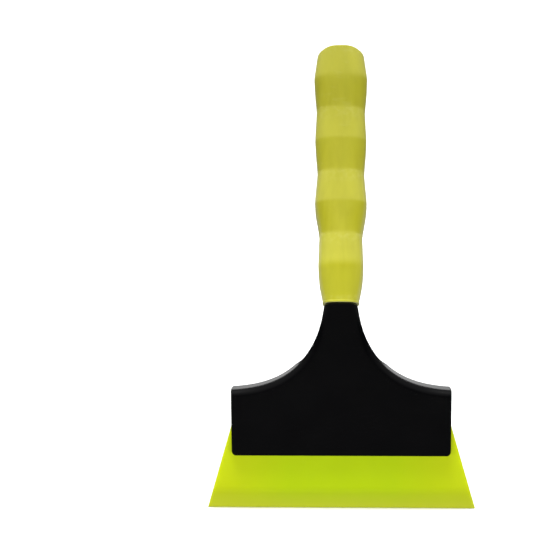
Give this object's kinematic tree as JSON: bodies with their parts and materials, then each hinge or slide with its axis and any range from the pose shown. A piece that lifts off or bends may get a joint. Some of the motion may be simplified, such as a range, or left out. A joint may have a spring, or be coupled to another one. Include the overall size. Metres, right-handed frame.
{
  "type": "windshield ice scraper",
  "caption": "Hand scraper with a flared bevelled elastomer blade in a two-shell head, and a ribbed soft grip that leans back from the head.",
  "frame": {"origin": "middle of the blade's working edge, on the narrow flat that forms the edge", "axes": "+X along the working edge, +Y from the head's flat front face to its back, +Z from the working edge up to the grip"},
  "size_m": [0.15, 0.0554, 0.2585],
  "materials": {
    "blade_elastomer": "translucent fluorescent yellow-green urethane, smooth satin",
    "head_plastic": "moulded black plastic, semi-gloss",
    "grip_rubber": "matte olive-yellow soft grip with ribs and side grooves",
    "plug_plastic": "moulded black plastic, satin",
    "screw_steel": "zinc plated steel"
  },
  "bodies": {
    "handle": {"front_shell": "head_plastic", "back_shell": "head_plastic", "grip_sleeve": "grip_rubber", "end_plug": "plug_plastic", "head_screw_lower_left": "screw_steel", "head_screw_lower_right": "screw_steel", "head_screw_upper_left": "screw_steel", "head_screw_upper_right": "screw_steel", "core_screw_lower": "screw_steel", "core_screw_upper": "screw_steel"},
    "blade": {"blade": "blade_elastomer"}
  },
  "joints": [
    {"name": "blade_slide", "type": "slide", "parent": "handle", "child": "blade", "axis": [1, 0, 0], "range_m": [-0.115, 0.115]}
  ]
}
